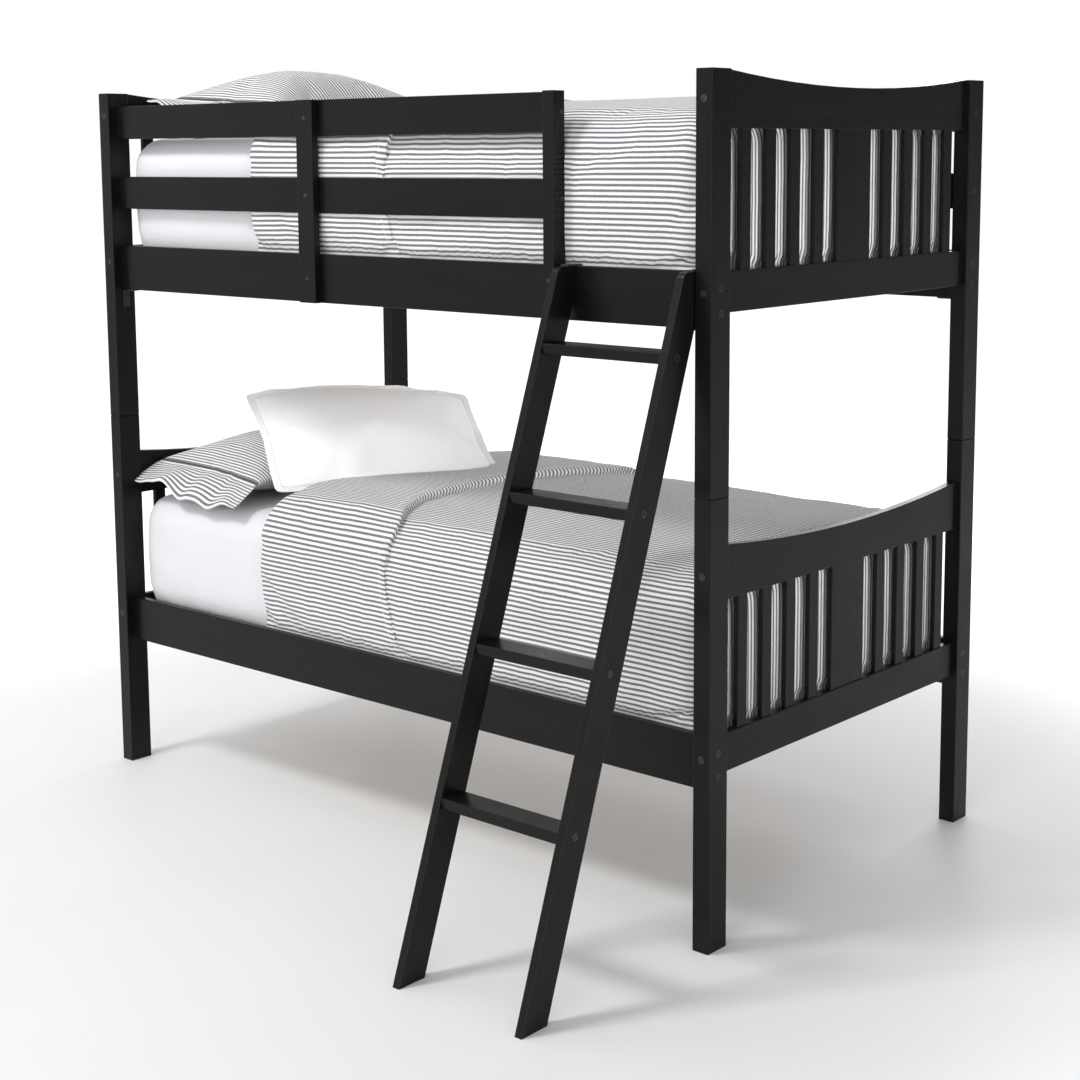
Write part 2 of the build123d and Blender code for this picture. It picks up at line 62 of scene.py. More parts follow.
PILLOW_LONG, PILLOW_SHORT = 0.600, 0.425
CASE_THICK = {"lower": 0.160, "upper": 0.182}
CASE_HEM = 0.095
CASE_PULL, WHITE_PULL = 0.45, 0.16   # how much of the seams' pull shows between a pillow's corners
WHITE_LONG, WHITE_SHORT, WHITE_THICK = 0.612, 0.410, 0.190
PRESS_PLACE, PRESS_REACH, PRESS_DEPTH = (-0.33, 0.28), (0.16, 0.34), 0.014   # under the white pillow


# ---------------------------------------------------------------- small helpers
def plain_object(name, verts, faces, uvs=None):
    mesh = bpy.data.meshes.new(name)
    mesh.from_pydata([tuple(v) for v in verts], [], faces)
    mesh.update()
    if uvs is not None:
        layer = mesh.uv_layers.new(name="cloth")
        corner = np.zeros(len(mesh.loops), dtype=np.int32)
        mesh.loops.foreach_get("vertex_index", corner)
        layer.data.foreach_set("uv", np.asarray(uvs, dtype=np.float32)[corner].ravel())
    mesh.polygons.foreach_set("use_smooth", [True] * len(mesh.polygons))
    obj = bpy.data.objects.new(name, mesh)
    bpy.context.scene.collection.objects.link(obj)
    return obj


def get_points(obj):
    pts = np.zeros(len(obj.data.vertices) * 3)
    obj.data.vertices.foreach_get("co", pts)
    return pts.reshape(-1, 3)


def set_points(obj, pts):
    obj.data.vertices.foreach_set("co", np.asarray(pts, dtype=np.float64).ravel())
    obj.data.update()


def get_normals(obj):
    out = np.zeros(len(obj.data.vertices) * 3)
    obj.data.vertices.foreach_get("normal", out)
    return out.reshape(-1, 3)


def bake_modifiers(obj):
    """Turns the object with its modifiers into one plain mesh."""
    graph = bpy.context.evaluated_depsgraph_get()
    mesh = bpy.data.meshes.new_from_object(obj.evaluated_get(graph))
    obj.modifiers.clear()
    obj.data = mesh
    mesh.name = obj.name
    return obj


def field(points, size, seed, stretch=(1.0, 1.0, 1.0)):
    """Smooth noise from -1 to 1 at each point, with hills about size across."""
    sx, sy, sz = stretch
    return np.array([
        noise.noise(Vector((x * sx / size + seed, y * sy / size - seed, z * sz / size)))
        for x, y, z in points
    ])


def creases(points, size, seed, stretch=(1.0, 1.0, 1.0)):
    """Narrow folds: 1 along a crease and falling away from it."""
    return np.clip(1.0 - np.abs(field(points, size, seed, stretch)) * 3.2, 0.0, 1.0) ** 2


def ease(value, low, high):
    """Rises softly from 0 at low to 1 at high."""
    t = np.clip((np.asarray(value, dtype=float) - low) / (high - low), 0.0, 1.0)
    return t * t * (3.0 - 2.0 * t)


def through(line, at):
    """Follows a given line of (place, value) pairs with soft corners."""
    xs, ys = zip(*line)
    reach = 0.03
    steps = np.linspace(-reach, reach, 7)
    return float(np.mean([np.interp(at + s, xs, ys) for s in steps]))


def settle(obj, pressure, frames, cap, grow=0.0, held=(), bend=0.4):
    """Lets the cloth swell and wrinkle for a few frames, and keeps each point within cap of its place."""
    start = get_points(obj)
    if len(held):
        group = obj.vertex_groups.new(name="held")
        group.add([int(i) for i in held], 1.0, "REPLACE")
    cloth = obj.modifiers.new("fill", "CLOTH")
    cfg = cloth.settings
    cfg.quality = 5
    cfg.mass = 0.25
    cfg.air_damping = 2.0
    cfg.tension_stiffness = cfg.compression_stiffness = 18.0
    cfg.shear_stiffness = 6.0
    cfg.bending_stiffness = bend
    cfg.use_pressure = pressure > 0
    cfg.uniform_pressure_force = pressure
    cfg.shrink_min = -grow
    cfg.effector_weights.gravity = 0.0
    if len(held):
        cfg.vertex_group_mass = "held"
    cloth.collision_settings.use_collision = False
    cloth.point_cache.frame_start = 1
    cloth.point_cache.frame_end = frames
    scene = bpy.context.scene
    for f in range(1, frames + 1):
        scene.frame_set(f)
    bake_modifiers(obj)
    scene.frame_set(1)
    moved = get_points(obj) - start
    far = np.linalg.norm(moved, axis=1, keepdims=True)
    set_points(obj, start + moved * np.minimum(1.0, cap / np.maximum(far, 1e-9)))
    obj.vertex_groups.clear()


# ---------------------------------------------------------------- shared shader groups
def shader_group(name, inputs, outputs):
    tree = bpy.data.node_groups.new(name, "ShaderNodeTree")
    for label, kind, value in inputs:
        sock = tree.interface.new_socket(name=label, in_out="INPUT", socket_type=kind)
        if value is not None:
            sock.default_value = value
    for label, kind in outputs:
        tree.interface.new_socket(name=label, in_out="OUTPUT", socket_type=kind)
    return tree, tree.nodes.new("NodeGroupInput"), tree.nodes.new("NodeGroupOutput")


def add_node(tree, kind, links=(), **values):
    """Adds one node. values set its properties; links is a dict of input name or place to a socket or a value."""
    node = tree.nodes.new(kind)
    for key, value in values.items():
        setattr(node, key, value)
    for key, source in dict(links).items():
        if isinstance(source, bpy.types.NodeSocket):
            tree.links.new(source, node.inputs[key])
        else:
            node.inputs[key].default_value = source
    return node


def maths(tree, operation, *values):
    return add_node(tree, "ShaderNodeMath", enumerate(values), operation=operation).outputs[0]



FLOAT, VECTOR = "NodeSocketFloat", "NodeSocketVector"


def make_edge_rub():
    """Where a hard edge is rubbed thin: the rounded normal leaves the flat one."""
    tree, i, o = shader_group(
        "edge_rub",
        (("Vector", VECTOR, None), ("Radius", FLOAT, 0.003), ("Patchiness", FLOAT, 0.5)),
        (("Mask", FLOAT),),
    )
    round_n = add_node(tree, "ShaderNodeBevel", {"Radius": i.outputs["Radius"]}, samples=4)
    flat_n = add_node(tree, "ShaderNodeNewGeometry")
    dot = add_node(tree, "ShaderNodeVectorMath", {0: round_n.outputs[0], 1: flat_n.outputs["Normal"]},
                   operation="DOT_PRODUCT")
    turned = maths(tree, "SUBTRACT", 1.0, dot.outputs["Value"])
    edge = add_node(tree, "ShaderNodeMapRange", {"Value": turned, "From Min": 0.02, "From Max": 0.22})
    patch = add_node(tree, "ShaderNodeTexNoise", {"Vector": i.outputs["Vector"], "Scale": 22.0, "Detail": 3.0})
    patch_amount = maths(tree, "MULTIPLY", patch.outputs["Fac"], i.outputs["Patchiness"])
    mask = maths(tree, "SUBTRACT", edge.outputs[0], patch_amount)
    tree.links.new(maths(tree, "MAXIMUM", mask, 0.0), o.inputs["Mask"])
    return tree


def make_wood_figure():
    """Straight grain: long soft bands with fine open pores between them."""
    tree, i, o = shader_group(
        "wood_figure",
        (("Vector", VECTOR, None), ("Band Scale", FLOAT, 30.0), ("Pore Scale", FLOAT, 240.0)),
        (("Bands", FLOAT), ("Pores", FLOAT)),
    )
    wander = add_node(tree, "ShaderNodeTexNoise",
                      {"Vector": i.outputs["Vector"], "Scale": i.outputs["Band Scale"], "Detail": 4.0,
                       "Roughness": 0.55, "Distortion": 0.6})
    pores = add_node(tree, "ShaderNodeTexNoise",
                     {"Vector": i.outputs["Vector"], "Scale": i.outputs["Pore Scale"], "Detail": 2.0})
    fine = add_node(tree, "ShaderNodeMapRange",
                    {"Value": pores.outputs["Fac"], "From Min": 0.34, "From Max": 0.52})
    tree.links.new(wander.outputs["Fac"], o.inputs["Bands"])
    tree.links.new(fine.outputs[0], o.inputs["Pores"])
    return tree


def make_soft_mottle():
    """Slow change over the surface, from handling, dust and uneven finish."""
    tree, i, o = shader_group(
        "soft_mottle",
        (("Vector", VECTOR, None), ("Scale", FLOAT, 6.0), ("Low", FLOAT, 0.0), ("High", FLOAT, 1.0)),
        (("Value", FLOAT),),
    )
    cloud = add_node(tree, "ShaderNodeTexNoise",
                     {"Vector": i.outputs["Vector"], "Scale": i.outputs["Scale"], "Detail": 5.0, "Roughness": 0.6})
    spread = add_node(tree, "ShaderNodeMapRange",
                      {"Value": cloud.outputs["Fac"], "From Min": 0.3, "From Max": 0.7,
                       "To Min": i.outputs["Low"], "To Max": i.outputs["High"]})
    tree.links.new(spread.outputs[0], o.inputs["Value"])
    return tree


def make_woven():
    """Plain weave: over and under threads with slubs, as a height and a small change of tone."""
    tree, i, o = shader_group(
        "woven",
        (("Vector", VECTOR, None), ("Threads", FLOAT, 900.0), ("Slub", FLOAT, 0.4), ("Crumple", FLOAT, 30.0)),
        (("Height", FLOAT), ("Tone", FLOAT)),
    )
    along = add_node(tree, "ShaderNodeTexWave", {"Vector": i.outputs["Vector"], "Scale": i.outputs["Threads"],
                                                  "Distortion": 1.0}, bands_direction="X")
    across = add_node(tree, "ShaderNodeTexWave", {"Vector": i.outputs["Vector"], "Scale": i.outputs["Threads"],
                                                   "Distortion": 1.0}, bands_direction="Y")
    weave = maths(tree, "MAXIMUM", along.outputs["Fac"], across.outputs["Fac"])
    slub = add_node(tree, "ShaderNodeTexNoise", {"Vector": i.outputs["Vector"], "Scale": 160.0, "Detail": 2.0})
    crumple = add_node(tree, "ShaderNodeTexNoise", {"Vector": i.outputs["Vector"], "Scale": i.outputs["Crumple"],
                                                     "Detail": 4.0, "Roughness": 0.62, "Distortion": 0.5})
    threads = maths(tree, "MULTIPLY", weave, 0.10)
    lumps = maths(tree, "MULTIPLY", slub.outputs["Fac"], i.outputs["Slub"])
    height = maths(tree, "ADD", maths(tree, "ADD", threads, lumps), crumple.outputs["Fac"])
    tone = maths(tree, "ADD", 0.93, maths(tree, "MULTIPLY", slub.outputs["Fac"], 0.10))
    tree.links.new(height, o.inputs["Height"])
    tree.links.new(tone, o.inputs["Tone"])
    return tree


def make_ticking():
    """Ticking stripe: one dark stripe of thin yarns in each pitch, its edges a little uneven."""
    tree, i, o = shader_group(
        "ticking",
        (("Vector", VECTOR, None), ("Pitch", FLOAT, STRIPE_PITCH), ("Share", FLOAT, 0.42),
         ("Ragged", FLOAT, 0.10)),
        (("Stripe", FLOAT),),
    )
    parts = add_node(tree, "ShaderNodeSeparateXYZ", {0: i.outputs["Vector"]})
    yarn = add_node(tree, "ShaderNodeTexNoise", {"Vector": i.outputs["Vector"], "Scale": 330.0, "Detail": 2.0})
    ragged = maths(tree, "MULTIPLY", maths(tree, "SUBTRACT", yarn.outputs["Fac"], 0.5), i.outputs["Ragged"])
    place = maths(tree, "ADD", maths(tree, "DIVIDE", parts.outputs["X"], i.outputs["Pitch"]), ragged)
    turn = maths(tree, "FRACT", place)
    off_middle = maths(tree, "ABSOLUTE", maths(tree, "SUBTRACT", turn, 0.5))
    half = maths(tree, "MULTIPLY", i.outputs["Share"], 0.5)
    inside = maths(tree, "SUBTRACT", half, off_middle)
    stripe = add_node(tree, "ShaderNodeMapRange", {"Value": inside, "From Min": -0.04, "From Max": 0.05})
    tree.links.new(stripe.outputs[0], o.inputs["Stripe"])
    return tree


EDGE_RUB = make_edge_rub()
WOOD_FIGURE = make_wood_figure()
SOFT_MOTTLE = make_soft_mottle()
WOVEN = make_woven()
TICKING = make_ticking()


# ---------------------------------------------------------------- materials
def new_material(name):
    mat = bpy.data.materials.new(name)
    mat.use_nodes = True
    tree = mat.node_tree
    shader = next(n for n in tree.nodes if n.type == "BSDF_PRINCIPLED")
    return mat, tree, shader


def place_group(tree, group, links):
    return add_node(tree, "ShaderNodeGroup", links, node_tree=group)


def mix_colour(tree, amount, first, second):
    return add_node(tree, "ShaderNodeMix", {0: amount, 6: first, 7: second}, data_type="RGBA").outputs[2]


def bump(tree, shader, height, strength, distance):
    node = add_node(tree, "ShaderNodeBump", {"Height": height, "Strength": strength, "Distance": distance})
    tree.links.new(node.outputs[0], shader.inputs["Normal"])


def rgb(r, g, b):
    return (r, g, b, 1.0)


GRAIN_STRETCH = {"x": (0.06, 1.0, 1.0), "y": (1.0, 0.06, 1.0), "z": (1.0, 1.0, 0.06)}


def espresso_lacquer(way):
    """Near-black satin lacquer over straight-grained wood, with the arrises rubbed a little."""
    mat, tree, shader = new_material(f"espresso_lacquer_{way}")
    here = tree.nodes.new("ShaderNodeTexCoord").outputs["Object"]
    grain = add_node(tree, "ShaderNodeMapping", {"Vector": here, "Scale": GRAIN_STRETCH[way]})
    figure = place_group(tree, WOOD_FIGURE, {"Vector": grain.outputs[0], "Band Scale": 34.0, "Pore Scale": 330.0})
    mottle = place_group(tree, SOFT_MOTTLE, {"Vector": here, "Scale": 7.0, "Low": 0.25, "High": 0.40})
    rub = place_group(tree, EDGE_RUB, {"Vector": here, "Radius": 0.0022, "Patchiness": 0.75})
    wood = mix_colour(tree, figure.outputs["Bands"], rgb(0.0024, 0.0023, 0.0024), rgb(0.0072, 0.0066, 0.0062))
    worn = mix_colour(tree, rub.outputs["Mask"], wood, rgb(0.050, 0.046, 0.042))
    tree.links.new(worn, shader.inputs["Base Color"])
    tree.links.new(mottle.outputs["Value"], shader.inputs["Roughness"])
    shader.inputs["Specular IOR Level"].default_value = 0.16
    shader.inputs["Coat Weight"].default_value = 0.06
    shader.inputs["Coat Roughness"].default_value = 0.22
    bump(tree, shader, figure.outputs["Pores"], 0.22, 0.0006)
    return mat


def bare_pine(way):
    """Unfinished pine, for the supports under the mattress."""
    mat, tree, shader = new_material(f"bare_pine_{way}")
    here = tree.nodes.new("ShaderNodeTexCoord").outputs["Object"]
    grain = add_node(tree, "ShaderNodeMapping", {"Vector": here, "Scale": GRAIN_STRETCH[way]})
    figure = place_group(tree, WOOD_FIGURE, {"Vector": grain.outputs[0], "Band Scale": 46.0, "Pore Scale": 300.0})
    mottle = place_group(tree, SOFT_MOTTLE, {"Vector": here, "Scale": 4.0, "Low": 0.55, "High": 0.72})
    wood = mix_colour(tree, figure.outputs["Bands"], rgb(0.33, 0.24, 0.15), rgb(0.56, 0.44, 0.31))
    tree.links.new(wood, shader.inputs["Base Color"])
    tree.links.new(mottle.outputs["Value"], shader.inputs["Roughness"])
    bump(tree, shader, figure.outputs["Pores"], 0.35, 0.0008)
    return mat


def metal(name, dark, light, low, high, rub_amount):
    """Fastener steel: plated or blackened, with brighter handled edges."""
    mat, tree, shader = new_material(name)
    here = tree.nodes.new("ShaderNodeTexCoord").outputs["Object"]
    cloud = place_group(tree, SOFT_MOTTLE, {"Vector": here, "Scale": 160.0, "Low": 0.0, "High": 1.0})
    rough = place_group(tree, SOFT_MOTTLE, {"Vector": here, "Scale": 90.0, "Low": low, "High": high})
    rub = place_group(tree, EDGE_RUB, {"Vector": here, "Radius": 0.0008, "Patchiness": rub_amount})
    base = mix_colour(tree, cloud.outputs["Value"], dark, light)
    worn = mix_colour(tree, rub.outputs["Mask"], base, rgb(0.62, 0.61, 0.59))
    tree.links.new(worn, shader.inputs["Base Color"])
    tree.links.new(rough.outputs["Value"], shader.inputs["Roughness"])
    shader.inputs["Metallic"].default_value = 1.0
    bump(tree, shader, cloud.outputs["Value"], 0.08, 0.0002)
    return mat


def cloth_surface(tree, shader, colour, roughness, height, strength):
    """The dull, slightly fuzzy surface that all the cotton has."""
    tree.links.new(colour, shader.inputs["Base Color"])
    tree.links.new(roughness, shader.inputs["Roughness"])
    shader.inputs["Specular IOR Level"].default_value = 0.2
    shader.inputs["Sheen Weight"].default_value = 0.12
    shader.inputs["Sheen Roughness"].default_value = 0.45
    bump(tree, shader, height, strength, 0.0030)


def white_cloth(name, tone, threads, crumple, strength):
    """White cotton with a fine weave and pressed-in creases."""
    mat, tree, shader = new_material(name)
    flat = tree.nodes.new("ShaderNodeUVMap")
    flat.uv_map = "cloth"
    weave = place_group(tree, WOVEN,
                        {"Vector": flat.outputs[0], "Threads": threads, "Slub": 0.15, "Crumple": crumple})
    mottle = place_group(tree, SOFT_MOTTLE, {"Vector": flat.outputs[0], "Scale": 5.0, "Low": 0.86, "High": 0.94})
    shade = tuple(c * 0.93 for c in tone[:3]) + (1.0,)
    colour = mix_colour(tree, weave.outputs["Tone"], shade, tone)
    cloth_surface(tree, shader, colour, mottle.outputs["Value"], weave.outputs["Height"], strength)
    return mat


def striped_cloth(name, pitch, band=None):
    """Grey ticking on white cotton; band is the place and width of one dark tape across the stripes."""
    mat, tree, shader = new_material(name)
    flat = tree.nodes.new("ShaderNodeUVMap")
    flat.uv_map = "cloth"
    weave = place_group(tree, WOVEN, {"Vector": flat.outputs[0], "Threads": 700.0, "Slub": 0.25, "Crumple": 26.0})
    tick = place_group(tree, TICKING, {"Vector": flat.outputs[0], "Pitch": pitch, "Share": 0.47, "Ragged": 0.16})
    mottle = place_group(tree, SOFT_MOTTLE, {"Vector": flat.outputs[0], "Scale": 5.0, "Low": 0.84, "High": 0.93})
    white = mix_colour(tree, weave.outputs["Tone"], rgb(0.66, 0.665, 0.66), rgb(0.785, 0.79, 0.785))
    grey = mix_colour(tree, weave.outputs["Tone"], rgb(0.085, 0.088, 0.100), rgb(0.165, 0.168, 0.182))
    colour = mix_colour(tree, tick.outputs["Stripe"], white, grey)
    if band:
        middle, width = band
        parts = add_node(tree, "ShaderNodeSeparateXYZ", {0: flat.outputs[0]})
        off = maths(tree, "ABSOLUTE", maths(tree, "SUBTRACT", parts.outputs["X"], middle))
        tape = maths(tree, "LESS_THAN", off, width / 2)
        colour = mix_colour(tree, tape, colour, rgb(0.075, 0.078, 0.085))
    cloth_surface(tree, shader, colour, mottle.outputs["Value"], weave.outputs["Height"], 0.35)
    return mat


def studio_floor_finish():
    """Pale matt floor with a painted glow: emission seen only by the camera lifts it towards white from 1.5 m to 3
    m from its middle, so it runs out into the white of the studio a few steps from the bed.
    """
    mat, tree, shader = new_material("studio_floor")
    here = tree.nodes.new("ShaderNodeTexCoord").outputs["Object"]
    tone = place_group(tree, SOFT_MOTTLE, {"Vector": here, "Scale": 0.7, "Low": 0.0, "High": 1.0})
    colour = mix_colour(tree, tone.outputs["Value"], rgb(0.80, 0.80, 0.80), rgb(0.83, 0.83, 0.83))
    tree.links.new(colour, shader.inputs["Base Color"])
    shader.inputs["Roughness"].default_value = 0.55
    shader.inputs["Specular IOR Level"].default_value = 0.25
    # painted glow: emission seen only by the camera, rising from 1.5 m to 3 m from the floor's middle, brightens
    # the floor to white away from the bed
    distance = add_node(tree, "ShaderNodeVectorMath", {0: here}, operation="LENGTH")
    away = add_node(tree, "ShaderNodeMapRange",
                    {"Value": distance.outputs["Value"], "From Min": 1.5, "From Max": 3.0},
                    interpolation_type="SMOOTHSTEP")
    by_eye = tree.nodes.new("ShaderNodeLightPath").outputs["Is Camera Ray"]
    amount = maths(tree, "MULTIPLY", away.outputs[0], by_eye)
    painted_floor_glow = mix_colour(tree, amount, rgb(0.0, 0.0, 0.0), rgb(0.5, 0.5, 0.5))
    tree.links.new(painted_floor_glow, shader.inputs["Emission Color"])
    shader.inputs["Emission Strength"].default_value = 1.0
    return mat


LACQUER = {way: espresso_lacquer(way) for way in "xyz"}
PINE = {way: bare_pine(way) for way in "xy"}
BLACK_STEEL = metal("black_steel", rgb(0.035, 0.035, 0.037), rgb(0.085, 0.085, 0.09), 0.30, 0.45, 0.8)
BRIGHT_STEEL = metal("bright_steel", rgb(0.42, 0.43, 0.44), rgb(0.62, 0.63, 0.63), 0.24, 0.40, 0.6)
SHEET_COTTON = white_cloth("fitted_sheet_cotton", rgb(0.70, 0.71, 0.73), 900.0, 9.0, 0.22)
PILLOW_COTTON = white_cloth("white_pillow_cotton", rgb(0.885, 0.895, 0.91), 700.0, 14.0, 0.30)
COVER_TICKING = striped_cloth("comforter_ticking", STRIPE_PITCH)
HEM_BAND = -(PILLOW_LONG / 2 - 0.010)
CASE_TICKING = striped_cloth("pillowcase_ticking", STRIPE_PITCH * 0.88, (HEM_BAND, 0.008))
THREAD = white_cloth("sewing_thread", rgb(0.80, 0.80, 0.79), 900.0, 200.0, 0.2)

BOARD_WAY = {
    "posts": "z", "panel_top_rails": "y", "panel_bottom_rails": "y", "panel_slats": "z",
    "panel_centre_boards": "z", "side_rails": "x",
}
NODE_FINISH = {
    "joining_pins": BRIGHT_STEEL, "rail_brackets": BLACK_STEEL, "guard_screws": BLACK_STEEL,
    "front_guard_rails": LACQUER["x"], "rear_guard_rails": LACQUER["x"],
    "front_guard_centre_upright": LACQUER["z"], "front_guard_end_upright": LACQUER["z"],
    "rear_guard_uprights": LACQUER["z"], "ladder_stiles": LACQUER["z"], "ladder_rungs": LACQUER["x"],
    "ladder_bolts": BLACK_STEEL, "ladder_hooks": BLACK_STEEL, "ladder_hook_screws": BLACK_STEEL,
}
for bunk in ("lower", "upper"):
    for part, way in BOARD_WAY.items():
        NODE_FINISH[f"{bunk}_{part}"] = LACQUER[way]
    NODE_FINISH[f"{bunk}_ledgers"] = PINE["x"]
    NODE_FINISH[f"{bunk}_mattress_slats"] = PINE["y"]
    for part in ("slat_screws", "barrel_nuts"):
        NODE_FINISH[f"{bunk}_{part}"] = BRIGHT_STEEL
    for part in ("panel_bolts", "rail_bolts"):
        NODE_FINISH[f"{bunk}_{part}"] = BLACK_STEEL
for node_name, finish in NODE_FINISH.items():
    for finish_slot in NODES[node_name].material_slots:
        finish_slot.link = "OBJECT"
        finish_slot.material = finish


# ---------------------------------------------------------------- mattress in its fitted sheet
def box_skin(lo, hi, step):
    """Closed grid of quads over a box."""
    count = [max(2, round((hi[a] - lo[a]) / step)) for a in range(3)]
    places, verts, faces = {}, [], []

    def point(key):
        if key not in places:
            places[key] = len(verts)
            verts.append([lo[a] + (hi[a] - lo[a]) * key[a] / count[a] for a in range(3)])
        return places[key]

    for a in range(3):
        u, v = (a + 1) % 3, (a + 2) % 3
        for side in (0, count[a]):
            for i in range(count[u]):
                for j in range(count[v]):
                    corners = []
                    for di, dj in ((0, 0), (1, 0), (1, 1), (0, 1)):
                        key = [0, 0, 0]
                        key[a], key[u], key[v] = side, i + di, j + dj
                        corners.append(point(tuple(key)))
                    faces.append(corners if side else corners[::-1])
    return np.array(verts), faces


def fitted_mattress(name, base, seed):
    """The mattress in its sheet: tucked under below, and fuller at the bare head end than under the cover."""
    lo = np.array([SHEET_HEAD, SHEET_NEAR, base + BED_UNDER + 0.001])
    hi = np.array([BED_FOOT - 0.002, BED_FAR + 0.001, base + BED_TOP + 0.004])
    pts, faces = box_skin(lo, hi, 0.016)
    uvs = np.stack([pts[:, 0] + 0.3 * pts[:, 2], pts[:, 1] + 0.9 * pts[:, 2]], axis=1)
    edge = np.full(3, SHEET_EDGE)
    inner = np.clip(pts, lo + edge, hi - edge)
    low = np.clip((inner[:, 2] - pts[:, 2]) / SHEET_EDGE, 0.0, 1.0)
    way = pts - inner
    flat = np.maximum(np.linalg.norm(way[:, :2], axis=1), 1e-9)
    length = np.maximum(np.linalg.norm(way, axis=1, keepdims=True), 1e-9)
    rounded = inner + way / length * SHEET_EDGE
    tuck = np.minimum(SHEET_EDGE / flat, 1.0) * (1.0 - 0.16 * low ** 2)
    tucked = inner + way * np.stack([tuck, tuck, np.ones(len(pts))], axis=1)
    pts = np.where((low > 0)[:, None], tucked, rounded)
    rise = (pts[:, 2] - lo[2]) / (hi[2] - lo[2])
    belly = np.clip(np.sin(np.pi * np.clip(rise, 0, 1)), 0.0, 1.0) ** 0.4
    pts[:, 0] += np.where(way[:, 0] < -1e-6, -0.008, 0.0) * belly
    bare = 1.0 - ease(pts[:, 0], -0.50, -0.44)
    pts[:, 1] += np.sign(way[:, 1]) * np.minimum(1.0, np.abs(way[:, 1]) / 0.02) * 0.0125 * belly * bare
    obj = plain_object(name, pts, faces, uvs)
    normals = get_normals(obj)
    corner = (1.0 - ease(pts[:, 0], BED_HEAD + 0.05, BED_HEAD + 0.42)) * bare
    pull = creases(pts, 0.17, seed, (1.0, 1.0, 1.6)) * corner
    slow = field(pts, 0.22, seed + 4.0) * bare
    lift = 0.0022 * pull + 0.0022 * slow
    set_points(obj, pts + normals * (lift - 0.0010)[:, None])
    return obj


def sheet_height(x, y, base):
    """Height of the sheet's top over a place on the bed, rounding off at the edges."""
    edge_in = min(x - SHEET_HEAD, BED_FOOT - x, y - SHEET_NEAR, BED_FAR - y)
    if edge_in > 0:
        drop = SHEET_EDGE - math.sqrt(max(SHEET_EDGE ** 2 - max(SHEET_EDGE - edge_in, 0.0) ** 2, 0.0))
    else:
        drop = SHEET_EDGE + min(-edge_in * 6.0, 0.25)
    return base + BED_TOP + 0.005 - drop


# ---------------------------------------------------------------- comforter with its head folded back
def across_path(crown):
    """Rows over the bed, near hem to far hem: place, outward way, and cloth measured from the centre line."""
    near, far = BED_NEAR - 0.0035, BED_FAR + 0.0035
    top = BED_TOP + 0.006
    straight = top - COVER_EDGE - COVER_UNDER
    arc_steps, top_steps = 8, 74
    rows = []
    for k in range(SIDE_STEPS):
        rows.append((near, COVER_UNDER + straight * k / SIDE_STEPS, -1.0, 0.0))
    for k in range(arc_steps):
        a = math.pi - math.pi / 2 * k / arc_steps
        rows.append((near + COVER_EDGE + COVER_EDGE * math.cos(a), top - COVER_EDGE + COVER_EDGE * math.sin(a),
                     math.cos(a), math.sin(a)))
    far_side = [(2 * MIDDLE - y, z, -ny, nz) for y, z, ny, nz in rows[::-1]]
    for k in range(top_steps + 1):
        y = near + COVER_EDGE + (far - near - 2 * COVER_EDGE) * k / top_steps
        rows.append((y, top, 0.0, 1.0))
    rows += far_side
    half = (far - near) / 2
    path, cloth, last = [], 0.0, None
    for y, z, ny, nz in rows:
        dome = crown * max(0.0, 1.0 - ((y - MIDDLE) / half) ** 2)
        puff = COVER_LOFT * max(nz, 0.0) + 0.012 * (1.0 - max(nz, 0.0))
        outside = (y + ny * puff, z + nz * puff + dome)
        if last is not None:
            cloth += math.hypot(outside[0] - last[0], outside[1] - last[1])
        last = outside
        path.append((y, z + dome, ny, nz, cloth))
    centre = cloth / 2
    return [(y, z, ny, nz, c - centre) for y, z, ny, nz, c in path]


def along_path(fold, hem, main, flap):
    """One row of the cover: from under the fold, round it, over the flap, round its hem and on to the foot."""
    full = main + flap
    first, start, end = fold + full / 2, hem - flap * 0.10, COVER_FOOT - COVER_EDGE
    line = [(first + 0.05, 0.0)]
    for k in range(FOLD_STEPS + 1):
        a = -math.pi / 2 - math.pi * k / FOLD_STEPS
        line.append((first + full / 2 * math.cos(a), full / 2 + full / 2 * math.sin(a)))
    for k in range(1, FLAP_STEPS):
        line.append((first + (hem - flap - first) * k / FLAP_STEPS, full))
    for k in range(6):
        a = math.pi / 2 - math.radians(140) * k / 5
        line.append((hem - flap / 2 + flap / 2 * math.cos(a), full - flap / 2 + flap / 2 * math.sin(a)))
    line.append((start, main + 0.0006))
    for k in range(1, LAID_STEPS + 1):
        line.append((start + (end - start) * k / LAID_STEPS, main))
    for k in range(1, 9):
        a = math.pi / 2 * k / 8
        line.append((end + COVER_EDGE * math.sin(a), main - COVER_EDGE * (1.0 - math.cos(a))))
    return line


def foot_drop(grid, verts, uvs, base):
    """Columns that hang from the cover's foot edge; the outer two are the foot ends of its own sides."""
    edge = [row[-1] for row in grid]
    low = base + COVER_UNDER
    columns = [edge[:SIDE_STEPS + 1][::-1]]
    for top_mark in edge[SIDE_STEPS + 1:-SIDE_STEPS - 1]:
        (tx, ty, tz), (across, run) = verts[top_mark], uvs[top_mark]
        column = [top_mark]
        for k in range(1, SIDE_STEPS + 1):
            column.append(len(verts))
            verts.append((tx, ty, tz + (low - tz) * k / SIDE_STEPS))
            uvs.append((across, run + (tz - low) * k / SIDE_STEPS))
        columns.append(column)
    return columns + [edge[-SIDE_STEPS - 1:]]


def grid_faces(rows):
    return [(a[k], a[k + 1], b[k + 1], b[k]) for a, b in zip(rows, rows[1:]) for k in range(len(a) - 1)]


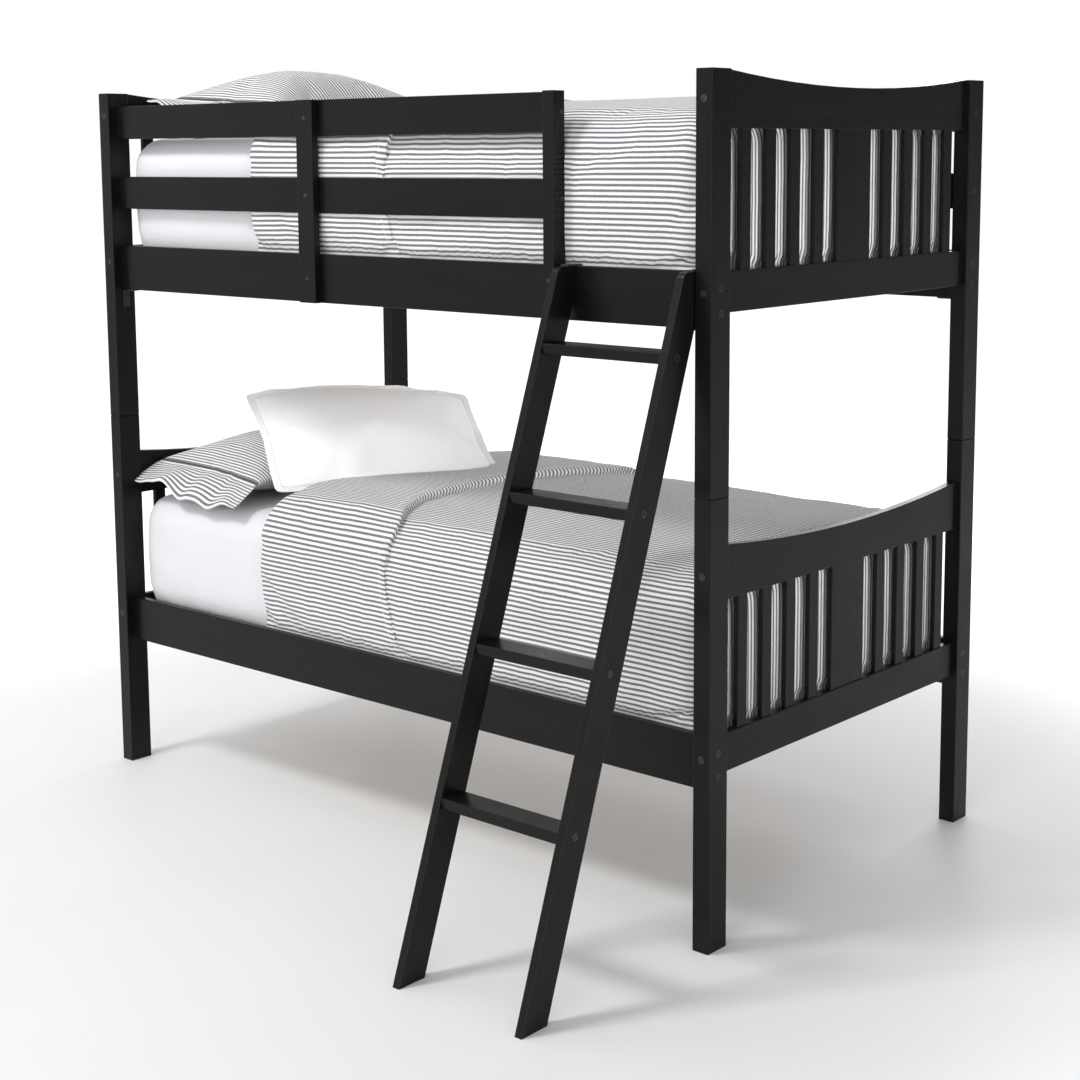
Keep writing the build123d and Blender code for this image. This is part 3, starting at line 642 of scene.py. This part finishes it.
def comforter(name, base, crown, fold_line, hem_line, pressed, seed):
    """A filled cover with its head folded back. Returns the object and the sewn row along the flap's hem."""
    verts, uvs, grid = [], [], []
    for y, z, ny, nz, cloth in across_path(crown):
        up = max(nz, 0.0)
        side_rise = ease(z, COVER_UNDER, COVER_UNDER + 0.12)
        main = (0.0065 + 0.0055 * side_rise) * (1.0 - up) + COVER_LOFT * up
        flap = (0.0035 + 0.0045 * side_rise) * (1.0 - up) + 0.020 * up
        marks, run, last = [], 0.0, None
        for x, h in along_path(through(fold_line, cloth), through(hem_line, cloth), main, flap):
            if last is not None:
                run += math.hypot(x - last[0], h - last[1])
            last = (x, h)
            marks.append(len(verts))
            verts.append((x, y + ny * h, base + z + nz * h))
            uvs.append((cloth, run))
        grid.append(marks)
    columns = foot_drop(grid, verts, uvs, base)
    obj = plain_object(name, verts, grid_faces(grid) + grid_faces(columns), uvs)

    held = [m for row in grid for m in row[:3]] + [m for row in grid[:3] + grid[-3:] for m in row]
    held += [m for column in columns for m in column[-3:]]
    settle(obj, 1.2, 16, 0.007, grow=0.025, held=sorted(set(held)), bend=0.6)

    pts = get_points(obj)
    normals = get_normals(obj)
    upward = np.clip(normals[:, 2], 0.0, 1.0)
    sideways = 1.0 - upward
    height = pts[:, 2] - base
    free = ease(height, 0.452, 0.52)
    body = 0.0040 * field(pts, 0.26, seed) * upward + 0.0030 * field(pts, 0.12, seed + 9.0, (0.7, 1.0, 1.0))
    folds = 0.0045 * creases(pts, 0.15, seed + 2.0, (1.0, 0.55, 0.55)) * (0.35 + 0.65 * sideways)
    low_pucker = np.exp(-((height - 0.50) / 0.075) ** 2) * sideways
    puckers = 0.0050 * field(pts, 0.055, seed + 6.0, (1.0, 0.2, 0.35)) * low_pucker
    lift = (body + folds) * (0.15 + 0.85 * free) + puckers * free
    foot_face = ease(pts[:, 0], COVER_FOOT - 0.02, COVER_FOOT) * sideways
    pts = pts + normals * (lift * (1.0 - 0.8 * foot_face))[:, None]
    for (px, py), reach, depth in pressed:
        away = np.hypot((pts[:, 0] - px) / reach[0], (pts[:, 1] - py) / reach[1])
        pts[:, 2] -= depth * np.exp(-away ** 2) * upward * ease(height, 0.72, 0.76)

    # the cloth stays inside the side rails, and above them it may stand out a little over their tops
    low = height < RAIL_TOP
    near_limit = np.where(low, BED_NEAR - RAIL_ROOM, COVER_NEAR_MOST)
    far_limit = np.where(low, BED_FAR + RAIL_ROOM, COVER_FAR_MOST)
    y = pts[:, 1]
    y = np.where(y < 0.0, np.maximum(y, near_limit), y)
    pts[:, 1] = np.where(y > 0.5, np.minimum(y, far_limit), y)
    pts[:, 0] = np.minimum(pts[:, 0], COVER_FOOT_MOST)
    set_points(obj, pts)

    solid = obj.modifiers.new("cloth_thickness", "SOLIDIFY")
    solid.thickness = 0.004
    solid.offset = -1.0
    bake_modifiers(obj)
    done = get_points(obj)
    hem_stitch = FOLD_STEPS + FLAP_STEPS    # the last point on the flap before its hem turns down
    return obj, [tuple(done[row[hem_stitch]]) for row in grid[::2]]


# ---------------------------------------------------------------- pillows
def pillow_skin(name, length, width, step):
    """Two flat sheets joined along their edges, with the cloth's own flat places as its map."""
    nx, ny = round(length / step), round(width / step)
    verts, uvs, faces, marks = [], [], [], {}

    def key(side, i, j):
        border = i in (0, nx) or j in (0, ny)
        return (0 if border else side, i, j), border

    for side in (1, 0):
        for i in range(nx + 1):
            for j in range(ny + 1):
                place, border = key(side, i, j)
                if place in marks:
                    continue
                x, y = length * (i / nx - 0.5), width * (j / ny - 0.5)
                marks[place] = len(verts)
                puff = 0.0 if border else (0.004 if side else -0.004)
                verts.append((x, y, puff + 0.0006 * math.sin(i * 2.1 + j * 3.7)))
                uvs.append((x, y))

    def at(side, i, j):
        return marks[key(side, i, j)[0]]

    for side in (1, 0):
        for i in range(nx):
            for j in range(ny):
                quad = (at(side, i, j), at(side, i + 1, j), at(side, i + 1, j + 1), at(side, i, j + 1))
                faces.append(quad if side else quad[::-1])
    rim = [(i, 0) for i in range(nx)] + [(nx, j) for j in range(ny)]
    rim += [(nx - i, ny) for i in range(nx)] + [(0, ny - j) for j in range(ny)]
    seam = [at(1, i, j) for i, j in rim]
    return plain_object(name, verts, faces, uvs), seam, rim, nx, ny


def sew_flange(verts, uvs, faces, seam, rim, nx, ny, flange, seed):
    """Adds the flat flange round a pillow, two layers of cloth, and returns its sewn row."""
    steps, cloth = 4, 0.0035
    ring = []
    for mark, (i, j) in zip(seam, rim):
        ox = -1 if i == 0 else (1 if i == nx else 0)
        oy = -1 if j == 0 else (1 if j == ny else 0)
        p, uv = verts[mark], uvs[mark]
        row = []
        for k in range(steps + 1):
            out = flange * k / steps - 0.004
            wave = 0.010 * (k / steps) * noise.noise(Vector((p[0] * 11.0, p[1] * 11.0, seed)))
            row.append(len(verts))
            verts.append((p[0] + ox * out, p[1] + oy * out, p[2] * (1 - k / steps) + wave))
            uvs.append((uv[0] + ox * out, uv[1] + oy * out))
        ring.append(row)
    under = {}
    for row in ring:
        for mark in row:
            under[mark] = len(verts)
            x, y, z = verts[mark]
            verts.append((x, y, z - cloth))
            uvs.append(uvs[mark])
    for a, b in zip(ring, ring[1:] + ring[:1]):
        for k in range(steps):
            faces.append((a[k], a[k + 1], b[k + 1], b[k]))
            faces.append((under[b[k]], under[b[k + 1]], under[a[k + 1]], under[a[k]]))
        faces.append((a[steps], under[a[steps]], under[b[steps]], b[steps]))
        faces.append((a[0], b[0], under[b[0]], under[a[0]]))
    return [row[1] for row in ring] + [ring[0][1]]


def sew_hem(verts, uvs, faces, seam, rim, width, hem, seed):
    """Adds the loose hem at a pillowcase's open end, and returns its two sewn rows."""
    steps = 9
    ends = sorted((j, mark) for mark, (i, j) in zip(seam, rim) if i == 0)
    end_x = sum(verts[mark][0] for j, mark in ends) / len(ends)
    rows = []
    for j, mark in ends:
        p, uv = verts[mark], uvs[mark]
        row = []
        for k in range(steps + 1):
            t = k / steps
            out = hem * k / steps - 0.004
            fan = 1.0 + 0.05 * t
            wave = 0.034 * t * noise.noise(Vector((p[1] * 11.0, 0.35 * t, seed)))
            wave += 0.005 * t * noise.noise(Vector((p[1] * 27.0, 0.8 * t, seed + 5.0)))
            row.append(len(verts))
            verts.append((p[0] * (1 - t) + end_x * t - out, p[1] * fan, p[2] * (1 - t) + wave))
            uvs.append((uv[0] - out, uv[1]))
        rows.append(row)
    under = {}
    for row in rows:
        for k, mark in enumerate(row):
            under[mark] = len(verts)
            x, y, z = verts[mark]
            side = 1.0 - (abs(y) * 2 / width) ** 4
            verts.append((x, y, z - 0.004 - 0.008 * max(side, 0.0) * k / steps))
            uvs.append(uvs[mark])
    for a, b in zip(rows, rows[1:]):
        for k in range(steps):
            faces.append((a[k], b[k], b[k + 1], a[k + 1]))
            faces.append((under[a[k]], under[a[k + 1]], under[b[k + 1]], under[b[k]]))
        faces.append((a[steps], b[steps], under[b[steps]], under[a[steps]]))
        faces.append((a[0], under[a[0]], under[b[0]], b[0]))
    for row, flip in ((rows[0], False), (rows[-1], True)):
        for k in range(steps):
            quad = (row[k], row[k + 1], under[row[k + 1]], under[row[k]])
            faces.append(quad[::-1] if flip else quad)
    return [[row[0] for row in rows], [row[steps - 1] for row in rows]]


def stuffed_pillow(name, length, width, thick, seed, pull_in, flange=0.0, hem=0.0, arch=0.0):
    """A filled pillow in its own place, its long side along X. Returns the object and its sewn rows."""
    obj, seam, rim, nx, ny = pillow_skin(name, length, width, 0.0115)
    pts = get_points(obj)
    pts[:, 2] += 0.0008 * field(pts, 0.05, seed)
    set_points(obj, pts)
    flat = get_points(obj)
    settle(obj, 5.0, 26, 0.5, bend=0.15)
    pts = get_points(obj)
    pts[:, :2] = flat[:, :2] + (pts[:, :2] - flat[:, :2]) * pull_in
    set_points(obj, pts)
    pts = get_points(obj)
    for a, size in ((0, length), (1, width), (2, thick)):
        low, high = pts[:, a].min(), pts[:, a].max()
        pts[:, a] = (pts[:, a] - (low + high) / 2) * size / (high - low)
    pts[:, 1] += arch * (1.0 - (pts[:, 0] * 2 / length) ** 2) * ease(pts[:, 1], -0.05, width / 2)
    set_points(obj, pts)

    verts = [tuple(p) for p in pts]
    uvs = [(0.0, 0.0)] * len(verts)
    layer = obj.data.uv_layers["cloth"].data
    for loop in obj.data.loops:
        uvs[loop.vertex_index] = tuple(layer[loop.index].uv)
    faces = [tuple(p.vertices) for p in obj.data.polygons]
    edge_rows = []
    if flange:
        edge_rows.append(sew_flange(verts, uvs, faces, seam, rim, nx, ny, flange, seed))
    if hem:
        edge_rows += sew_hem(verts, uvs, faces, seam, rim, width, hem, seed)
    old = obj.data
    bpy.data.objects.remove(obj)
    bpy.data.meshes.remove(old)
    return plain_object(name, verts, faces, uvs), edge_rows


def lay(obj, middle, long_way, short_way):
    """Puts a pillow in its place on the bed, and returns the way its upper side faces."""
    u = Vector(long_way).normalized()
    v = Vector(short_way)
    v = (v - u * v.dot(u)).normalized()
    w = u.cross(v)
    obj.data.transform(Matrix([(u[a], v[a], w[a], middle[a]) for a in range(3)] + [(0, 0, 0, 1)]))
    obj.data.update()
    return w


def finish_pillow(obj, edge_rows):
    """Smooths a pillow once it lies in its place, and returns where its sewn rows end up."""
    sub = obj.modifiers.new("soft", "SUBSURF")
    sub.levels = sub.render_levels = 1
    bake_modifiers(obj)
    pts = get_points(obj)
    return [[tuple(pts[m]) for m in row] for row in edge_rows]


# ---------------------------------------------------------------- stitches
STITCH_SIZES = {"Pitch": 0.0058, "Stitch Length": 0.0038, "Thread Radius": 0.0006}


def make_stitch_tree():
    """A row of stitches along a line: even pitch, each one a small rounded bar along the seam."""
    tree = bpy.data.node_groups.new("stitch_row", "GeometryNodeTree")
    tree.interface.new_socket(name="Geometry", in_out="INPUT", socket_type="NodeSocketGeometry")
    for label, value in STITCH_SIZES.items():
        sock = tree.interface.new_socket(name=label, in_out="INPUT", socket_type="NodeSocketFloat")
        sock.default_value = value
    tree.interface.new_socket(name="Thread", in_out="INPUT", socket_type="NodeSocketMaterial")
    tree.interface.new_socket(name="Geometry", in_out="OUTPUT", socket_type="NodeSocketGeometry")
    i, o = tree.nodes.new("NodeGroupInput"), tree.nodes.new("NodeGroupOutput")
    curve = add_node(tree, "GeometryNodeMeshToCurve", {"Mesh": i.outputs["Geometry"]})
    even = add_node(tree, "GeometryNodeResampleCurve", {"Curve": curve.outputs[0], "Length": i.outputs["Pitch"]},
                    mode="LENGTH")
    bar = add_node(tree, "GeometryNodeMeshCylinder",
                   {"Vertices": 5, "Radius": i.outputs["Thread Radius"], "Depth": i.outputs["Stitch Length"]})
    tangent = tree.nodes.new("GeometryNodeInputTangent")
    turn = add_node(tree, "FunctionNodeAlignRotationToVector", {"Vector": tangent.outputs[0]}, axis="Z")
    rows = add_node(tree, "GeometryNodeInstanceOnPoints",
                    {"Points": even.outputs[0], "Instance": bar.outputs["Mesh"], "Rotation": turn.outputs[0]})
    real = add_node(tree, "GeometryNodeRealizeInstances", {"Geometry": rows.outputs[0]})
    painted = add_node(tree, "GeometryNodeSetMaterial",
                       {"Geometry": real.outputs[0], "Material": i.outputs["Thread"]})
    tree.links.new(painted.outputs[0], o.inputs["Geometry"])
    return tree


STITCH_TREE = make_stitch_tree()


def stitch_rows(name, rows):
    """All the sewn rows of one bunk as one plain mesh."""
    verts, edges = [], []
    for row in rows:
        first = len(verts)
        verts += row
        edges += [(first + k, first + k + 1) for k in range(len(row) - 1)]
    mesh = bpy.data.meshes.new(name)
    mesh.from_pydata(verts, edges, [])
    obj = bpy.data.objects.new(name, mesh)
    bpy.context.scene.collection.objects.link(obj)
    mod = obj.modifiers.new("stitches", "NODES")
    mod.node_group = STITCH_TREE
    wanted = {**STITCH_SIZES, "Thread": THREAD}
    for item in STITCH_TREE.interface.items_tree:
        if item.in_out == "INPUT" and item.name in wanted:
            mod[item.identifier] = wanted[item.name]
    bake_modifiers(obj)
    return obj


# ---------------------------------------------------------------- the bedding
# each point: cloth measured across from the centre line, then the place along the bed
FOLD_LINE = ((-0.80, -0.441), (-0.60, -0.441), (-0.52, -0.425), (-0.44, -0.418), (-0.34, -0.445), (0.10, -0.470),
             (0.52, -0.450), (0.80, -0.440))
HEM_LINE = ((-0.80, 0.075), (-0.72, 0.045), (-0.62, 0.018), (-0.53, 0.022), (-0.46, 0.022), (-0.38, -0.030),
            (-0.28, -0.075), (-0.10, -0.082), (0.12, -0.050), (0.34, 0.005), (0.52, 0.020), (0.80, 0.020))
UPPER_FOLD = tuple((c, x + (0.010 if c < -0.7 else -0.004)) for c, x in FOLD_LINE)
UPPER_HEM = tuple((c, x + 0.012 + 0.010 * math.sin(c * 9.0)) for c, x in HEM_LINE)
COVER_LINES = {"lower": (FOLD_LINE, HEM_LINE), "upper": (UPPER_FOLD, UPPER_HEM)}
CASE_PLACE = {     # middle above the bunk's base, long way and short way
    "lower": ((-0.748, 0.135, 0.826), (0.02, 1.0, 0.03), (-1.0, 0.02, 0.05)),
    "upper": ((-0.728, 0.205, 0.833), (-0.02, 1.0, 0.0), (-1.0, -0.02, 0.06)),
}


def finish_soft(obj, body, node, material):
    """Gives a soft piece its material, attaches it to its body, and hides the part it replaces."""
    obj.data.materials.clear()
    obj.data.materials.append(material)
    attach(obj, body)
    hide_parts(node)


def dress_bunk(bunk, base, seed):
    mattress = fitted_mattress(f"{bunk}_mattress_in_sheet", base, seed)
    pressed = [(PRESS_PLACE, PRESS_REACH, PRESS_DEPTH)] if bunk == "lower" else []
    fold_line, hem_line = COVER_LINES[bunk]
    cover, hem_row = comforter(f"{bunk}_striped_comforter", base, COVER_CROWN[bunk], fold_line, hem_line,
                               pressed, seed + 3.0)
    case, rows = stuffed_pillow(f"{bunk}_striped_pillowcase", PILLOW_LONG, PILLOW_SHORT, CASE_THICK[bunk],
                                seed, CASE_PULL, hem=CASE_HEM)
    (x, y, z), long_way, short_way = CASE_PLACE[bunk]
    lay(case, (x, y, base + z), long_way, short_way)
    return mattress, cover, hem_row, case, rows


def rest_on(obj, tops, gap):
    """Keeps every point of a piece above what it rests on."""
    pts = get_points(obj)
    for p in pts:
        p[2] = max(p[2], max(top(p[0], p[1]) for top in tops) + gap)
    set_points(obj, pts)


def droop(obj, axis_y, reach, depth):
    """Lets the hem beyond axis_y hang down."""
    pts = get_points(obj)
    t = np.clip((axis_y - pts[:, 1]) / reach, 0.0, 1.5)
    pts[:, 2] -= depth * t ** 1.5
    set_points(obj, pts)


def white_pillow(seed):
    """The flanged pillow that leans on the lower case, laid by where its four corners are."""
    obj, rows = stuffed_pillow("lower_white_pillow_case", WHITE_LONG, WHITE_SHORT, WHITE_THICK, seed, WHITE_PULL,
                               flange=0.022, arch=0.060)
    top_left = Vector((-0.815, 0.022, 1.022))
    top_right = Vector((-0.530, 0.602, 0.948))
    low_right = Vector((-0.168, 0.428, 0.774))
    low_left = Vector((-0.480, -0.141, 0.777))
    middle = (top_left + top_right + low_right + low_left) / 4
    long_way = (low_right + top_right) - (low_left + top_left)
    short_way = (top_left + top_right) - (low_left + low_right)
    normal = lay(obj, middle, long_way, short_way)
    return obj, rows, (middle, long_way.normalized(), short_way.normalized(), normal)


def press_under(obj, leaning):
    """Presses a pillow down where the white one leans on it."""
    pts = get_points(obj)
    m, u, v, w = (np.array(a) for a in leaning)
    off = pts - m
    a, b, c = off @ u / 0.31, off @ v / 0.21, off @ w
    inside = (np.abs(a) < 1) & (np.abs(b) < 1)
    half = 0.068 * np.sqrt(np.clip((1 - np.abs(a) ** 2.6) * (1 - np.abs(b) ** 2.6), 0, 1))
    push = np.where(inside & (c > -half), c + half, 0.0)
    set_points(obj, pts - push[:, None] * w)


def sheet_top(base):
    return lambda x, y: sheet_height(x, y, base)


def cover_top(x, y):
    """Top of the lower bunk's folded comforter, for what rests on it."""
    edge_in = min(y - BED_NEAR, BED_FAR - y)
    if x < -0.47 or edge_in <= 0.03:
        return 0.0
    half = (BED_FAR - BED_NEAR) / 2
    dome = COVER_CROWN["lower"] * max(0.0, 1.0 - ((y - MIDDLE) / half) ** 2)
    along, across = (x - PRESS_PLACE[0]) / PRESS_REACH[0], (y - PRESS_PLACE[1]) / PRESS_REACH[1]
    press = PRESS_DEPTH * math.exp(-along ** 2 - across ** 2)
    fold_rise = 0.047 * min(1.0, (x + 0.47) / 0.03)
    return BED_TOP + 0.004 + dome + fold_rise - press


bedding = {bunk: dress_bunk(bunk, BASE[bunk], seed) for bunk, seed in (("lower", 1.7), ("upper", 5.3))}
white, white_rows, leaning = white_pillow(3.1)
rest_on(white, [sheet_top(0.0), cover_top], 0.002)

sewn = {}
for bunk, (mattress, cover, hem_row, case, rows) in bedding.items():
    body = f"{bunk}_bunk"
    droop(case, -0.145, 0.10, 0.042)
    if bunk == "lower":
        press_under(case, leaning)
    rest_on(case, [sheet_top(BASE[bunk])], 0.003)
    sewn[bunk] = finish_pillow(case, rows) + [hem_row]
    finish_soft(mattress, body, f"{bunk}_mattress", SHEET_COTTON)
    finish_soft(cover, body, f"{bunk}_comforter", COVER_TICKING)
    finish_soft(case, body, f"{bunk}_striped_pillow", CASE_TICKING)
sewn["lower"] += finish_pillow(white, white_rows)
finish_soft(white, "lower_bunk", "lower_white_pillow", PILLOW_COTTON)
for bunk, rows in sewn.items():
    thread = stitch_rows(f"{bunk}_stitching", rows)
    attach(thread, f"{bunk}_bunk")

# ---------------------------------------------------------------- floor, light and camera
floor = plain_object("studio_floor", [(-30, -30, 0), (30, -30, 0), (30, 30, 0), (-30, 30, 0)], [(0, 1, 2, 3)])
floor.data.materials.append(studio_floor_finish())

world = bpy.data.worlds.new("studio")
bpy.context.scene.world = world
world.use_nodes = True
sky_tree = world.node_tree
back = next(n for n in sky_tree.nodes if n.type == "BACKGROUND")
# the studio is dimmer beyond the foot of the bed, so the end panels stay dark
sky_way = sky_tree.nodes.new("ShaderNodeTexCoord").outputs["Generated"]
beyond_foot = add_node(sky_tree, "ShaderNodeVectorMath", {0: sky_way, 1: (0.80, 0.60, 0.0)},
                       operation="DOT_PRODUCT")
dimming = add_node(sky_tree, "ShaderNodeMapRange",
                   {"Value": beyond_foot.outputs["Value"], "From Min": -0.1, "From Max": 0.75})
sky = mix_colour(sky_tree, dimming.outputs[0], rgb(1.0, 1.0, 1.0), rgb(0.25, 0.25, 0.26))
sky_tree.links.new(sky, back.inputs["Color"])
back.inputs["Strength"].default_value = 0.92
# the camera itself sees plain white behind the bed
seen = add_node(sky_tree, "ShaderNodeBackground", {"Color": rgb(1.0, 1.0, 1.0), "Strength": 1.0})
by_camera = sky_tree.nodes.new("ShaderNodeLightPath").outputs["Is Camera Ray"]
choose = add_node(sky_tree, "ShaderNodeMixShader", {0: by_camera, 1: back.outputs[0], 2: seen.outputs[0]})
sky_out = next(n for n in sky_tree.nodes if n.type == "OUTPUT_WORLD")
sky_tree.links.new(choose.outputs[0], sky_out.inputs["Surface"])


def softbox(name, place, aim, size, power):
    """A rectangular studio light at place, turned towards aim."""
    light = bpy.data.lights.new(name, "AREA")
    light.shape = "RECTANGLE"
    light.size, light.size_y = size
    light.energy = power
    obj = bpy.data.objects.new(name, light)
    bpy.context.scene.collection.objects.link(obj)
    obj.location = place
    obj.rotation_euler = (Vector(aim) - Vector(place)).to_track_quat("-Z", "Y").to_euler()
    return obj


softbox("key_softbox", (-1.2, -3.2, 5.2), (0.0, 0.2, 0.6), (1.1, 1.1), 140.0)
softbox("front_softbox", (2.2, -5.6, 2.0), (0.0, 0.2, 0.8), (3.0, 3.0), 75.0)
foot_softbox = softbox("foot_softbox", (4.2, -0.4, 1.25), (0.0, 0.2, 1.2), (1.6, 1.0), 6.0)
foot_softbox.data.spread = math.radians(36.0)      # narrow, so that it passes over the floor
foot_softbox.visible_glossy = False
softbox("back_softbox", (-0.6, 5.2, 2.9), (0.0, 0.2, 0.9), (3.0, 3.0), 105.0)

camera_data = bpy.data.cameras.new("camera")
camera = bpy.data.objects.new("camera", camera_data)
bpy.context.scene.collection.objects.link(camera)
camera_data.sensor_width = 36.0
camera_data.lens = 62.717
camera_data.shift_y = -0.1204
camera_data.clip_end = 100.0
yaw, pitch, roll = math.radians(41.35), math.radians(7.78), math.radians(-0.396)
forward = Vector((-math.sin(yaw) * math.cos(pitch), math.cos(yaw) * math.cos(pitch), -math.sin(pitch)))
level = Vector((math.cos(yaw), math.sin(yaw), 0.0))
above = level.cross(forward)
right = math.cos(roll) * level + math.sin(roll) * above
upright = -math.sin(roll) * level + math.cos(roll) * above
eye = (3.2122, -3.3071, 1.6596)
camera.matrix_world = Matrix(
    [(right[a], upright[a], -forward[a], eye[a]) for a in range(3)] + [(0.0, 0.0, 0.0, 1.0)])
bpy.context.scene.camera = camera
bpy.context.scene.view_settings.view_transform = "Standard"
